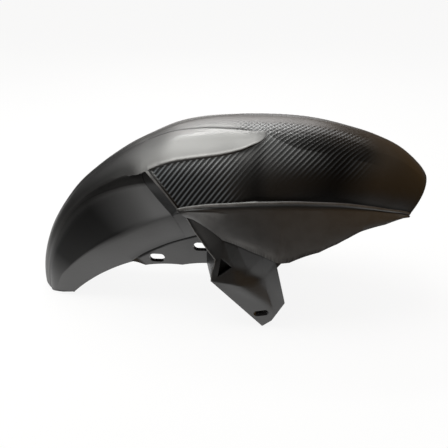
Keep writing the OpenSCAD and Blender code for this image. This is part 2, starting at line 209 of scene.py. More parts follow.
def ramp(a, start, end):
    """0 at start, 1 at end and straight between them. It may also fall, with end below start."""
    return np.clip((a - start) / (end - start), 0.0, 1.0)


def ease(k):
    return k * k * (3 - 2 * k)


def mix(a, b, k):
    return a + (b - a) * k


def bell(x, centre, width):
    return np.exp(-((x - centre) / width) ** 2)


def pair(half, radius):
    """Points of the section."""
    return np.stack([half, radius], -1)


def swell(p, q, k, bulge):
    """Points at k between p and q, on an arc that stands out by the bulge."""
    d = q - p
    n = np.stack([-d[..., 1], d[..., 0]], -1) / np.linalg.norm(d, axis=-1, keepdims=True)
    bulge = np.asarray(bulge)[..., None] if np.ndim(bulge) else bulge
    k = np.asarray(k)[..., None] if np.ndim(k) else k
    return p + d * k + n * bulge * 4 * k * (1 - k)


# Lines of the section, each as (half width, radius) at an angle. crown_top is a radius.
def crown_top(a):
    return CROWN_R - val("shoulder_drop", a) + CROWN_RISE * val("centre_share", a)


def shoulder(a):
    return pair(CROWN_HALF * val("shoulder_share", a), CROWN_R - val("shoulder_drop", a))


def crown_sink(a):
    return CROWN_SINK * ramp(a, 88.5, 91.5) * ramp(a, 119, 110)


def crown(a, k):
    """Crown surface from its centre, k 0, to just inside the shoulder, k 1."""
    s = shoulder(a)
    edge = 0.97
    x = edge * k
    top = crown_top(a)
    return pair(s[..., 0] * x, mix(top, s[..., 1], x * x) - crown_sink(a))


def border_top(a):
    return pair(FRONT_HALF * val("panel_share", a), CROWN_R - val("panel_drop", a))


def side(a, k):
    return swell(shoulder(a), border_top(a), k, val("side_swell", a))


def panel_sink(a, t):
    return PANEL_SINK * ramp(a, 87.5, 92) * ease(ramp(t, RIM_AT + 0.35, RIM_AT + 0.1))


def panel(a, k, t):
    place = mix(val("blade_place", a), 1, k)
    return side(a, place) - panel_sink(a, t)[..., None] * np.array([0.8, 0.6])


def border_foot(a):
    return border_top(a) + np.array([BORDER_OUT, -BORDER_H])


def skirt_foot(a):
    return pair(FRONT_HALF * val("skirt_share", a), CROWN_R - val("skirt_drop", a))


def shelf_edge(a):
    return pair(REAR_HALF * val("shelf_share", a), CROWN_R - val("shelf_drop", a))


def chamfer(a):
    k = ramp(a, 137, 121)
    return pair(mix(4.5, SHELF_OUT, k), -mix(4.5, 14.5, k))


def lip_foot(a):
    return shelf_edge(a) + chamfer(a) * 0.5 + 0.3


def recess_top(a):
    return shelf_edge(a) + chamfer(a)


def crease(a):
    return pair(REAR_HALF * val("crease_share", a), CROWN_R - val("crease_drop", a))


def band_foot(a):
    return pair(REAR_HALF * val("band_share", a), CROWN_R - val("band_drop", a))


def pad_top(a):
    k = ramp(a, 138.5, 137)
    return band_foot(a) - pair(mix(0.8, PAD_SINK, k), 0.8 + 0 * a)


def pad_foot(a):
    p = pad_top(a)
    return pair(p[..., 0] - 0.3, np.minimum(p[..., 1] - 0.8, CROWN_R - val("pad_drop", a)))


def front_point(j, a, t):
    """Front section at row j, which may fall between the named rows."""
    if j <= 2:
        return crown(a, j / 2) if j < 2 else shoulder(a)
    if j <= 4:
        place = val("blade_place", a)
        wide = SIDE_LEN * place
        below, above = wide * (j - 2) / 2, wide * (4 - j) / 2
        roll = BLADE_ROLL * wide * bell(below, 0.26 * wide, 0.18 * wide)
        roll = roll * ramp(a, 89, 92) * ramp(t, 115, 107)
        lip = BLADE_LIP * bell(above, 1.6, 1.1) * ramp(a, 89, 91) * ramp(t, RIM_AT, 108)
        return side(a, place * (j - 2) / 2) + (roll + lip)[..., None] * np.array([0.6, 0.8])
    top, foot = 0.03, 0.985  # where the panel's flat part starts and ends
    if j <= 5:
        k, place = j - 4, val("blade_place", a)
        sunk = panel(a, top, t) - side(a, mix(place, 1, top))
        return side(a, mix(place, 1, top * k)) + sunk * ease(k)
    if j <= 8:
        return panel(a, mix(top, foot, (j - 5) / 3), t)
    if j <= 9:
        return mix(panel(a, foot, t), border_top(a), j - 8)
    if j <= 10:
        k = j - 9
        rounding = 0.5 * math.sin(math.pi * k) * np.array([1.0, 0.5])
        return mix(border_top(a), border_foot(a), k) + rounding
    groove = 0.7 * bell(j, 10.12, 0.07)
    below = below_bead(j, a)
    bead = BEAD * np.exp(-np.maximum(below, 0) / 8) * ease(ramp(below, -6, 0.5)) * bead_span(a)
    bulge = mix(1.5, 0.2, bell(a, 104, 8))
    return swell(border_foot(a), skirt_foot(a), (j - 10) / 4, bulge) + pair(bead - groove, 0 * a)


def below_bead(j, a):
    """Distance below the soft bead on the skirt."""
    depth = (j - 10) / 4 * (val("skirt_drop", a) - val("panel_drop", a) - BORDER_H)
    return depth - mix(2.2, 8.0, ramp(a, 110, 100))


def bead_span(a):
    """How much of the bead there is at an angle."""
    return bell(a, 106, 5.5) * ramp(a, 113, 111)


def rear_point(j, a, t):
    """Rear section at row j, which may fall between the named rows."""
    if j <= 2:
        return crown(a, j / 2) if j < 2 else shoulder(a)
    if j <= 4:
        k = ease(ramp(t, REAR_START, 123))[..., None]
        shelf = swell(shoulder(a), shelf_edge(a), (j - 2) / 2, mix(5.2, 2.5, ramp(a, 116, 135)))
        return mix(side(a, val("blade_place", a) * (j - 2) / 2), shelf, k)
    if j <= 5:
        return mix(shelf_edge(a), lip_foot(a), j - 4)
    if j <= 6:
        return mix(lip_foot(a), recess_top(a), j - 5)
    if j <= 9:
        return swell(recess_top(a), crease(a), (j - 6) / 3, 1.5)
    if j <= 11:
        return swell(crease(a), band_foot(a), (j - 9) / 2, 1.0)
    if j <= 12:
        return mix(band_foot(a), pad_top(a), j - 11)
    return mix(pad_top(a), pad_foot(a), (j - 12) / 2)


def lean(table, j):
    return float(np.interp(j, range(ROWS + 1), table))


def row_angle(t, j):
    """Angle of each point of row j, where t is the angle before any lean."""
    if t[0] < STEP_AT:
        return (t - lean(STEP_LEAN, j) * ramp(t, 92, FRONT_END) ** 2
                - 0.4 * ramp(t, 56, NOSE_AT) * (j + min(j / 2, 1)) / (ROWS + 1))
    return (t + lean(FOOT_LEAN, j) * ramp(t, 121, REAR_START)
            - lean(TAIL_LEAN, j) * ramp(t, 150, TAIL_AT))


def to_space(a, p):
    """Section points at angles, as points in space."""
    r = np.radians(a)
    return np.stack([p[..., 1] * np.cos(r), p[..., 0], p[..., 1] * np.sin(r)], -1) + AXLE


def row_line(t, j, front):
    a = row_angle(t, j)
    return a, (front_point if front else rear_point)(j, a, t)


def inner_line(t, j, front):
    """Section points moved inward by the wall, at a named row or between two."""
    low = int(math.floor(j))
    if j > low:
        a0, p0 = inner_line(t, low, front)
        a1, p1 = inner_line(t, low + 1, front)
        return mix(a0, a1, j - low), mix(p0, p1, j - low)
    a, p = row_line(t, low, front)
    if low == 0:
        return a, p - np.array([0, WALL])
    section = front_point if front else rear_point
    before = section(low - 1, a, t)
    after = p if low == ROWS else section(low + 1, a, t)
    d = after - before
    n = np.stack([d[..., 1], -d[..., 0]], -1) / np.linalg.norm(d, axis=-1, keepdims=True)
    at_step = np.abs(t - STEP_AT) < 0.5
    return a - np.where(at_step, STEP_WALL, 0), p + WALL * n


def grid(t, rows, front, inside=False):
    """Points in space, with an angle for each line and a row for each column."""
    line = inner_line if inside else row_line
    return np.stack([to_space(*line(t, j, front)) for j in rows], 1)


def spread(parts):
    """Row numbers: each part is (from, to, count)."""
    rows = [0.0]
    for low, high, count in parts:
        rows += [low + (high - low) * (k + 1) / count for k in range(count)]
    return rows


# The skin's faces and what its points carry.
class Shell:
    """Collects faces, with the five weave values of each point."""

    def __init__(self):
        self.points, self.faces, self.weave = [], [], []
        self.count = 0

    def sheet(self, points, weave=None, flip=False, keep=None):
        """Add a grid of points, and the faces of those cells that are kept."""
        n, m = points.shape[:2]
        weave = np.zeros((n, m, 5)) if weave is None else weave
        start = self.count
        self.points.append(points.reshape(-1, 3))
        self.weave.append(weave.reshape(-1, 5))
        self.count += n * m
        for i in range(n - 1):
            for c in range(m - 1):
                if keep is None or keep(i, c):
                    a, b = start + i * m + c, start + (i + 1) * m + c
                    f = [a, a + 1, b + 1, b]
                    self.faces.append(f[::-1] if flip else f)


def mirrored(points):
    """The same points on the left-hand side."""
    out = points.copy()
    out[..., 1] *= -1
    return out


def front_painted_light(j, a, t):
    """Painted highlights along edges above 0, and painted shade in grooves and over broad areas
    below 0, over the front.
    """
    before_rim = ramp(t, RIM_AT + 0.6, RIM_AT + 0.4)
    behind_tip = ramp(a, 89, 93)
    below = below_bead(j, a)
    above_border = j < 8.8

    # painted highlights: light lines on the rim, the border, the blade's lower edge, the skirt and
    # over the guard
    rim = ramp(t, RIM_AT + 0.55, RIM_AT + 0.7) * ramp(t, FRONT_END, FRONT_END - 0.1)
    rim = 0.9 * rim * (4.1 < j < 9.4)
    border = ramp(j, 8.7, 8.95) * ramp(j, 10.0, 9.8) * mix(0.35, 1.0, ramp(a, 80, 104))
    blade_lip = bell(j, 3.9, 0.12) * behind_tip
    skirt = 0.12 * (j > 10.4) * mix(1, before_rim, behind_tip)
    under_bead = 0.9 * ramp(below, 0.1, 0.5) * np.exp(-np.maximum(below, 0) / 10) * bead_span(a)
    over_guard = 0.45 * ramp(j, 13.1, 13.6) * ramp(a, 77, 83) * ramp(a, 104, 96)
    light = before_rim * (border + blade_lip) + skirt + under_bead + over_guard

    # painted shade: dark lines along the panel, the rim, the border, the bead, the shoulder and the
    # open edges
    panel_top = 0.5 * bell(j, 4.9, 0.3) * behind_tip
    panel_foot = 0.8 * bell(j, 8.15, 0.25)
    by_rim = ramp(t, RIM_AT, RIM_AT + 0.15) * ramp(t, RIM_AT + 0.6, RIM_AT + 0.5)
    by_rim = 0.9 * by_rim * (4.1 < j < 8.9)
    under_border = 0.9 * bell(j, 10.15, 0.13)
    over_bead = 0.9 * bell(below, -0.5, 0.5) * bead_span(a)
    by_shoulder = 0.9 * bell(j, 1.86, 0.17) * (j < 1.99) * ramp(a, 90, 94) * ramp(a, 120, 112)
    open_edge = 0.9 * (j > 13.85) * (a < 78) + 0.9 * ramp(t, NOSE_AT + 0.3, NOSE_AT + 0.1)
    dark = before_rim * (panel_top + panel_foot) + by_rim + under_border + over_bead
    dark = dark + by_shoulder + open_edge

    # broad shade, which follows the photograph
    to_nose = 0.45 * ease(ramp(a, 84, 68)) * above_border
    by_nose = 0.3 * bell(a, 71, 7) * ease(ramp(j, 6, 2))
    before_blade = ramp(a, 91, 87) if j <= 4.1 else ramp(a, 97, 90)
    front_side = mix(0.9, 0.62, ramp(j, 3.9, 4.5)) * ease(ramp(j, 1.2, 2.6))
    front_side = front_side * before_blade * above_border * ramp(a, 61, 71)
    on_crown = 0.36 * (j < 1.99) * ramp(a, 122, 114) * ramp(a, 72, 80)
    panel_front = 0.3 * (4.1 < j) * above_border * ramp(a, 99, 93) * ramp(a, 87, 91)
    dark = dark + to_nose + by_nose + front_side + on_crown + panel_front
    return np.clip(np.maximum(light, rim) - dark, -1, 1)


def rear_painted_shade(j, a, t):
    """Painted shade of the rear, below 0: dark lines along its edges, creases and the pad's top,
    and broader shade over the shelf, the side and the recess.
    """
    shelf = 0.62 * ramp(j, 4.0, 4.3) * ramp(j, 6.05, 5.85) * mix(0.3, 1, ramp(a, 150, 130))
    by_step = (4.2 < j < 9.1) * ramp(t, REAR_START + 0.3, REAR_START)
    shoulder_side = 0.5 * ramp(j, 4.2, 3.6) * ramp(a, 117, 124) * ramp(a, 154, 142)
    by_shoulder = 0.9 * bell(j, 1.95, 0.05) * ramp(a, 126, 118)
    on_crease = 0.5 * bell(j, 9.0, 0.18) * ramp(a, 146, 134)
    recess = 0.95 * ramp(j, 5.5, 6.5) * (j < 9) * ramp(a, 121, 136) * ramp(a, 162, 152)
    over_pad = bell(j, 11.5, 0.5) * (a < PAD_END)
    open_edge = 0.8 * (j > 13.8) + 0.8 * ramp(t, TAIL_AT - 0.5, TAIL_AT - 0.2)
    dark = shelf + by_step + shoulder_side + by_shoulder + on_crease + recess
    return -np.clip(dark + over_pad + open_edge, 0, 1)


def weave_map(t, rows, points):
    """The five values of each point of the front. Coordinates are in millimetres."""
    n, m = points.shape[:2]
    out = np.zeros((n, m, 5))
    height = points[..., 2] * SEEN_UP - np.abs(points[..., 1]) * SEEN_ACROSS
    steep = np.interp(rows, [0, 2, 4.5], [0.5, 0.5, 0])
    fall = -np.diff(height, axis=1)
    extra = np.concatenate([np.zeros((n, 1)), np.cumsum(fall * steep[1:], axis=1)], 1)
    x = points[..., 0]
    open_up = np.clip(x - OPEN_FROM, 0, OPEN_LEN)
    steepness = RIB_STEEP + RIB_STEEPER * open_up / OPEN_LEN
    down = steepness * (RIB_LEVEL - height) + extra - extra[:, -1:]
    beyond = np.maximum(x - (OPEN_FROM + OPEN_LEN), 0)
    ahead = x - RIB_OPEN * (open_up ** 2 / (2 * OPEN_LEN) + beyond)
    two = rows.index(2.0)
    for c, j in enumerate(rows):
        a = row_angle(t, j)
        out[:, c, AHEAD] = ahead[:, c]
        out[:, c, DOWN] = down[:, c]
        nose = ease(ramp(a, 62.5, 70.5))
        crown_in = ease(ramp(a, 97, 92.5))
        blade = ease(ramp(a, 88.8, 88.1))
        middle = ramp(j, 0.55, 0.95)
        if j < 2:
            woven = nose * crown_in * ease(ramp(j, 2.0, 1.93))
            out[:, c, STRENGTH] = np.maximum(woven, nose * blade) * middle
            out[:, c, CROSS] = 1
        elif j <= 5:
            out[:, c, STRENGTH] = nose * blade
        elif j <= 8:
            # the ribs' relief and their painted highlight fade low on the front panel and near the
            # blade's tip
            low = ease(ramp(j, 5.5, 7.2)) * ease(ramp(a, 100, 91))
            gap = 0.6 * bell(a, 92.5, 2.8) * ease(ramp(j, 4.6, 5.5))
            before_rim = ramp(t, RIM_AT + 0.1, RIM_AT - 0.1)
            out[:, c, STRENGTH] = nose * before_rim * (1 - np.maximum(0.9 * low, gap))
        if j >= 2:
            out[:, c, CROSS] = ease(ramp(height[:, two] - height[:, c], 14, 0))
        out[:, c, LIGHT_AND_SHADE] = front_painted_light(j, a, t)
    return out


def painted_light_only(t, rows, painted_light):
    """Weave values of a surface without ribs, which carry only its painted light and shade."""
    out = np.zeros((len(t), len(rows), 5))
    for c, j in enumerate(rows):
        out[:, c, LIGHT_AND_SHADE] = painted_light(j, row_angle(t, j), t)
    return out


def rib(phase):
    """Height of a rib, 0 to 1."""
    return (0.5 + 0.5 * np.cos(2 * np.pi * phase)) ** 1.4


def emboss(points, weave, height):
    """Raise the ribs along the surface normal."""
    du = np.gradient(points, axis=0)
    dv = np.gradient(points, axis=1)
    n = np.cross(dv, du)
    n /= np.maximum(np.linalg.norm(n, axis=-1, keepdims=True), 1e-9)
    u, v, strength = weave[..., AHEAD], weave[..., DOWN], weave[..., STRENGTH]
    return points + n * (height * strength * (rib((u + v) / RIB_PITCH) - 1))[..., None]


# Objects and solids.
def link(name, data):
    """New object with this data, in the scene."""
    obj = bpy.data.objects.new(name, data)
    bpy.context.scene.collection.objects.link(obj)
    return obj


def choose(objects):
    """Select these objects, with the first one active."""
    bpy.ops.object.select_all(action="DESELECT")
    for obj in objects:
        obj.select_set(True)
    bpy.context.view_layer.objects.active = objects[0]


def slot_cutter(length, width, depth, name):
    """A round-ended bar along X with its axis along Y, centred."""
    half, r, count = (length - width) / 2, width / 2, 20
    ring = []
    for side_x, base in ((half, -90), (-half, 90)):
        for k in range(count + 1):
            q = math.radians(base + 180 * k / count)
            ring.append((side_x + r * math.cos(q), r * math.sin(q)))
    bm = bmesh.new()
    low = [bm.verts.new((x, -depth / 2, z)) for x, z in ring]
    high = [bm.verts.new((x, depth / 2, z)) for x, z in ring]
    bm.faces.new(low)
    bm.faces.new(high[::-1])
    for k in range(len(ring)):
        n = (k + 1) % len(ring)
        bm.faces.new((low[n], low[k], high[k], high[n]))
    bmesh.ops.recalc_face_normals(bm, faces=bm.faces)
    mesh = bpy.data.meshes.new(name)
    bm.to_mesh(mesh)
    bm.free()
    return link(name, mesh)


def solid(points, faces, name):
    """Object from points and faces, with its normals outward."""
    mesh = bpy.data.meshes.new(name)
    mesh.from_pydata([tuple(p) for p in points], [], faces)
    bm = bmesh.new()
    bm.from_mesh(mesh)
    bmesh.ops.remove_doubles(bm, verts=bm.verts, dist=0.01)
    bmesh.ops.recalc_face_normals(bm, faces=bm.faces)
    bm.to_mesh(mesh)
    bm.free()
    return link(name, mesh)


def walled(outer, inner, name, keep=None):
    """Closed sheet with a wall, from two grids of one size. The test tells which cells stay."""
    n, m = outer.shape[:2]
    total = n * m
    points = np.concatenate([outer.reshape(-1, 3), inner.reshape(-1, 3)])

    def there(i, c):
        return 0 <= i < n - 1 and 0 <= c < m - 1 and (keep is None or keep(i, c))

    faces = []
    for i in range(n - 1):
        for c in range(m - 1):
            if not there(i, c):
                continue
            a, b, d, e = i * m + c, i * m + c + 1, (i + 1) * m + c + 1, (i + 1) * m + c
            faces += [[a, b, d, e], [a + total, e + total, d + total, b + total]]
            for (u, v), (ni, nc) in (((a, b), (i - 1, c)), ((b, d), (i, c + 1)),
                                     ((d, e), (i + 1, c)), ((e, a), (i, c - 1))):
                if not there(ni, nc):
                    faces.append([v, u, u + total, v + total])
    return solid(points, faces, name)


def modify(obj, kind, **settings):
    """Add a modifier and apply it."""
    mod = obj.modifiers.new(kind, kind)
    for key, value in settings.items():
        setattr(mod, key, value)
    choose([obj])
    bpy.ops.object.modifier_apply(modifier=mod.name)


def remove(obj):
    """Remove an object and its mesh."""
    mesh = obj.data
    bpy.data.objects.remove(obj)
    bpy.data.meshes.remove(mesh)


def combine(obj, other, operation):
    """Boolean with another solid, which is then removed."""
    modify(obj, "BOOLEAN", operation=operation, object=other, solver="EXACT")
    remove(other)


def to_left(obj):
    """Mirror a solid to the left-hand side."""
    for v in obj.data.vertices:
        v.co.y *= -1
    obj.data.flip_normals()


def polar(angle, drop, half):
    """Point at an angle, by its drop and half width."""
    r = math.radians(angle)
    return np.array([(CROWN_R - drop) * math.cos(r), half, (CROWN_R - drop) * math.sin(r)]) + AXLE


# Where the axle is: the lowest corner stands on the floor, and the length is centred.
nose = grid(np.linspace(NOSE_AT, 60, 40), ALL_ROWS, True)
tail_t = np.linspace(130, TAIL_AT, 40)
tail = np.concatenate([grid(tail_t, ALL_ROWS, False, inside).reshape(-1, 3)
                       for inside in (False, True)])
lowest = min(tail[:, 2].min(), polar(*LOWEST, 0)[2])
AXLE = np.array([-(nose[..., 0].max() + tail[:, 0].min()) / 2, 0, -lowest])

# The skin.
FRONT_ROWS = spread([(0, 1.93, 24), (1.93, 2, 2), (2, 3.4, 14), (3.4, 4, 12), (4, 5, 5),
                     (5, 8, 40), (8, 9, 3), (9, 10, 5), (10, 10.3, 5), (10.3, 11.5, 9),
                     (11.5, 14, 6)])
front_t = np.concatenate([np.linspace(NOSE_AT, RIM_AT - 0.1, 260),
                          np.linspace(RIM_AT, FRONT_END, 14)])
REAR_ROWS = spread([(0, 1.93, 12), (1.93, 2, 2), (2, 4, 10), (4, 5, 3), (5, 6, 4), (6, 9, 14),
                    (9, 11, 8), (11, 12, 2), (12, 14, 3)])
rear_t = np.concatenate([np.linspace(REAR_START, REAR_START + 0.4, 4),
                         np.linspace(REAR_START + 0.9, TAIL_AT, 58)])

shell = Shell()
front_outer = grid(front_t, FRONT_ROWS, True)
front_weave = weave_map(front_t, FRONT_ROWS, front_outer)
front_outer = emboss(front_outer, front_weave, RIB_H)
rear_outer = grid(rear_t, REAR_ROWS, False)
rear_weave = painted_light_only(rear_t, REAR_ROWS, rear_painted_shade)


def above_pad(rows, angles):
    """Test for cells: those below the band's foot are left to the pad, where there is one."""
    return lambda i, c: not (rows[c] >= 11 and angles[i] < PAD_END)


front_in_t = np.concatenate([np.linspace(NOSE_AT, 114, 34), [115, FRONT_END]])
rear_in_t = np.linspace(REAR_START, TAIL_AT, 26)
front_inner = grid(front_in_t, ALL_ROWS, True, True)
rear_inner = grid(rear_in_t, ALL_ROWS, False, True)


def strip(outer, inner, flip, painted_light=0.0):
    """One row of faces between two lines, on both sides of the object."""
    weave = np.zeros((len(outer), 2, 5))
    weave[..., LIGHT_AND_SHADE] = np.reshape(painted_light, (-1, 1))
    for side_flip in (False, True):
        a, b = (mirrored(outer), mirrored(inner)) if side_flip else (outer, inner)
        shell.sheet(np.stack([a, b], 1), weave, flip=flip != side_flip)


for other in (False, True):
    place = mirrored if other else np.asarray
    shell.sheet(place(front_outer), front_weave, flip=other)
    shell.sheet(place(rear_outer), rear_weave, flip=other, keep=above_pad(REAR_ROWS, rear_t))
    shell.sheet(place(front_inner), flip=not other)
    shell.sheet(place(rear_inner), flip=not other, keep=above_pad(ALL_ROWS, rear_in_t))

# The step wall: outside, inside, closed at its foot, and the step between the crowns.
STEP_ROWS = [float(j) for j in np.linspace(4, 9.4, 33)]
FOOT_ROWS = [float(j) for j in np.linspace(4, 9.08, 33)]
edge_t, foot_t = np.array([FRONT_END]), np.array([REAR_START])
wall_front = grid(edge_t, STEP_ROWS, True)[0]
wall_rear = grid(foot_t, FOOT_ROWS, False)[0]
# painted shade on the step wall, deepest in its lower part
wall_painted_shade = [-mix(0.75, 1, ramp(j, 5.5, 7)) * (j > 4.2) for j in FOOT_ROWS]
strip(wall_front, wall_rear, True, wall_painted_shade)
inside_front = grid(edge_t, STEP_ROWS, True, True)[0]
inside_rear = grid(foot_t, FOOT_ROWS, False, True)[0]
strip(inside_front, inside_rear, False)
strip(np.array([wall_front[-1], wall_rear[-1]]),
      np.array([inside_front[-1], inside_rear[-1]]), True)
TOP_ROWS = [r for r in FRONT_ROWS if r <= 4]
strip(grid(edge_t, TOP_ROWS, True)[0], grid(foot_t, TOP_ROWS, False)[0], True)

# Rims: nose, tail, the skirt's foot, the band's foot and the open edge at the step.
strip(front_outer[0], grid(front_t[:1], FRONT_ROWS, True, True)[0], False)
strip(rear_outer[-1], grid(rear_t[-1:], REAR_ROWS, False, True)[0], True)
strip(front_outer[:, -1], grid(front_t, [14.0], True, True)[:, 0], True)
strip(rear_outer[:, -1], grid(rear_t, [14.0], False, True)[:, 0], True)
LOW_FRONT = [r for r in FRONT_ROWS if r >= 9]
strip(grid(edge_t, LOW_FRONT, True)[0], grid(edge_t, LOW_FRONT, True, True)[0], True)

# Its mesh, with the weave's coordinates and the three values for the look.
mesh = bpy.data.meshes.new(PIECE)
all_points = np.concatenate(shell.points) * MM
mesh.from_pydata([tuple(p) for p in all_points], [], shell.faces)
weave = np.concatenate(shell.weave)
uv_layer = mesh.uv_layers.new(name="weave")
loops = np.empty(len(mesh.loops), dtype=np.int32)
mesh.loops.foreach_get("vertex_index", loops)
uv_layer.data.foreach_set("uv", (weave[loops, :2] * MM).ravel().astype(np.float32))
for name, column in LAYERS.items():
    layer = mesh.attributes.new(name, "FLOAT", "POINT")
    layer.data.foreach_set("value", weave[:, column].astype(np.float32))
shell_obj = link(PIECE, mesh)

# Pads. Each has a tongue, which goes up behind the skirt at the step.
PAD_ROWS = [9, 9.5, 10, 10.5, 10.94, 11, 11.5, 12, 12.12, 12.2, 12.26, 12.5, 13, 13.5, 14]
TONGUE_FOOT = 10.94
pad_t = np.concatenate([np.linspace(112, 116.6, 8), np.linspace(117.2, PAD_END + 0.05, 34)])


def pad_grid(inside):
    """Points of the pad, outside or inside."""
    out = []
    for j in PAD_ROWS:
        a = pad_t - np.interp(j, TONGUE_ROWS, TONGUE_LEAN) * ramp(pad_t, 119.5, 112)
        inward = (0.3 if j < TONGUE_FOOT else 0) + (WALL if inside else 0)
        out.append(to_space(a, rear_point(j, a, pad_t) - np.array([inward, 0])))
    return np.stack(out, 1)


def pad_keep(i, c):
    return PAD_ROWS[c] >= TONGUE_FOOT or pad_t[i] < 119.2


def pad_solid():
    """One pad with a boss behind each slot, and the slots cut through both."""
    pad = walled(pad_grid(False), pad_grid(True), "pad", pad_keep)
    places = [(*at, float(pad_foot(np.array([at[0]]))[0, 0])) for at in SLOTS]
    for angle, drop, half in places:
        boss = slot_cutter(SLOT_LEN + BOSS_MORE, SLOT_W + BOSS_MORE, BOSS_T, "boss")
        boss.location = polar(angle, drop, half - WALL - BOSS_T / 2 + 0.5)
        combine(pad, boss, "UNION")
    for place in places:
        cutter = slot_cutter(SLOT_LEN, SLOT_W, 40, "cutter")
        cutter.location = polar(*place)
        combine(pad, cutter, "DIFFERENCE")
    return pad


extra = [pad_solid(), pad_solid()]
to_left(extra[1])


# Leg guard.
def guard_point(corner, inset=0.0):
    """Place of a corner of the guard, moved inward by the inset."""
    angle, drop, share = corner
    return polar(angle, drop, FRONT_HALF * share - TUCK - inset)


def between(a, b, k):
    """Corner at k between two corners."""
    return [mix(p, q, k) for p, q in zip(a, b)]


def softened(points, faces):
    """Facets divided and relaxed, with the outline and the rim of the window held."""
    sheet = solid(points, faces, "sheet")
    modify(sheet, "SUBSURF", subdivision_type="SIMPLE", levels=3)
    bm = bmesh.new()
    bm.from_mesh(sheet.data)
    free = [v for v in bm.verts if not v.is_boundary]
    for _ in range(SOFTEN):
        bmesh.ops.smooth_vert(bm, verts=free, factor=0.5, use_axis_x=True, use_axis_y=True,
                              use_axis_z=True)
    bm.verts.index_update()
    points = [np.array(v.co) for v in bm.verts]
    faces = [[v.index for v in f.verts] for f in bm.faces]
    bm.free()
    remove(sheet)
    return points, faces


def lap_solid():
    """Strip of the guard that goes up behind the foot of the skirt."""
    line = [between(a, b, s / SPLIT) for a, b in zip(TOP_EDGE, TOP_EDGE[1:]) for s in range(SPLIT)]
    outer = np.array([[guard_point((a, drop + 1, share), 0.1),
                       guard_point((a, drop - LAP_UP, share), 0.6)]
                      for a, drop, share in line + [TOP_EDGE[-1]]])
    return walled(outer, outer - np.array([0, WALL, 0]), "guard")


def guard_solid():
    """The facets of the leg guard, with its top edge laid along the foot of the skirt."""
    points = [guard_point(g) for g in GUARD]
    faces, top, foot = [], {}, len(TOP_EDGE)

    def top_point(k, s):
        if s == 0 or s == SPLIT:
            return k + (s == SPLIT)
        if (k, s) not in top:
            top[k, s] = len(points)
            points.append(guard_point(between(GUARD[k], GUARD[k + 1], s / SPLIT)))
        return top[k, s]

    for f in GUARD_FACES:
        edge = [v for v in f if v < foot]
        if len(edge) == 2:
            k = min(edge)
            apex = [v for v in f if v >= foot][0]
            faces += [[top_point(k, s), apex, top_point(k, s + 1)] for s in range(SPLIT)]
        else:
            faces.append(list(f))
    points, faces = softened(points, faces)
    total = len(points)
    edges = [edge for f in faces for edge in zip(f, f[1:] + f[:1])]
    known = set(edges)
    rims = [[v, u, u + total, v + total] for u, v in edges if (v, u) not in known]
    faces += [[v + total for v in f[::-1]] for f in faces] + rims
    points += [p - np.array([0, WALL, 0]) for p in points]
    obj = solid(points, faces, "guard")
    modify(obj, "BEVEL", width=0.6, segments=2, limit_method="ANGLE", angle_limit=math.radians(60))
    boss = slot_cutter(TIP_SLOT_LEN + BOSS_MORE, TIP_SLOT_W + BOSS_MORE, TIP_BOSS, "boss")
    boss.location = polar(*TIP_SLOT_AT, FRONT_HALF - WALL - TIP_BOSS / 2 + 0.8)
    cutter = slot_cutter(TIP_SLOT_LEN, TIP_SLOT_W, 60, "cutter")
    cutter.location = polar(*TIP_SLOT_AT, FRONT_HALF)
    for other, operation in ((boss, "UNION"), (cutter, "DIFFERENCE")):
        other.rotation_euler = (0, -TIP_SLOT_TURN, 0)
        combine(obj, other, operation)
    return obj


def web_solid():
    """Web from the rear edge of the leg guard in to the front end of the pad."""
    outer = np.array([[polar(*root, WEB_HALF), guard_point(corner, 1.0)]
                      for root, corner in zip(WEB_AT, WEB_EDGE)])
    return walled(outer, outer + np.array([WALL, 0, 0]), "web")


def pocket_solid():
    """Blind pocket behind the three-sided window."""
    corners = np.array([guard_point(corner) for corner in WINDOW])
    centre = corners.mean(0)

    def ring(grow, depth):
        return centre + (corners - centre) * grow - np.array([0, depth, 0])

    rings = [ring(1.0, 1.4), ring(1.0, POCKET_D - WALL), ring(1.4, 1.4), ring(1.4, POCKET_D)]
    faces = [[3, 4, 5], [9, 10, 11]]
    for k in range(3):
        n = (k + 1) % 3
        faces += [[k, n, 3 + n, 3 + k], [6 + k, 9 + k, 9 + n, 6 + n], [k, 6 + k, 6 + n, n]]
    return solid(np.concatenate(rings), faces, "pocket")


def tube(path, radius, name):
    """A rolled edge along a line of points."""
    curve = bpy.data.curves.new(name, "CURVE")
    curve.dimensions = "3D"
    spline = curve.splines.new("POLY")
    spline.points.add(len(path) - 1)
    for point, p in zip(spline.points, path):
        point.co = (p[0], p[1], p[2], 1)
    curve.bevel_depth = radius
    curve.bevel_resolution = 3
    curve.use_fill_caps = True
    choose([link(name, curve)])
    bpy.ops.object.convert(target="MESH")
    return bpy.context.view_layer.objects.active


def rim_path():
    """Line of the rolled rear edge of the leg guard."""
    path = [between(a, b, s / 4) for a, b in zip(REAR_EDGE, REAR_EDGE[1:]) for s in range(4)]
    return [guard_point(corner, 0.9) for corner in path + [REAR_EDGE[-1]]]


for other in (False, True):
    for obj in (guard_solid(), lap_solid(), web_solid(), pocket_solid(),
                tube(rim_path(), EDGE_R, "rolled_edge")):
        if other:
            to_left(obj)
        extra.append(obj)


def guard_painted_shade(p):
    """Painted shade: darker in its upper part and toward the rolled rear edge."""
    a, drop = math.degrees(math.atan2(p.z, p.x)), CROWN_R - math.hypot(p.x, p.z)
    base = mix(mix(0.62, 0.2, ramp(drop, 150, 195)), 0.1, ramp(a, 103, 108) * ramp(drop, 140, 120))
    rear = np.interp(drop, [86, 110, 135.5, 148.6], [111.3, 110.2, 108, 106.3])
    edge = ramp((rear - a) * math.radians(CROWN_R - drop), 5, 1) * ramp(drop, 150, 135)
    return -float(mix(base, 0.9, edge))


def pad_painted_shadow(p):
    """Painted shadow: a dark line on the pad below the foot of the band."""
    a = np.array([math.degrees(math.atan2(p.z, p.x))])
    below = float(pad_top(a)[0, 1]) - math.hypot(p.x, p.z)
    return float(ramp(below, -1.5, -0.5) * ramp(below, 4.0, 3.2) * ramp(a, 137.5, 136.3)[0])
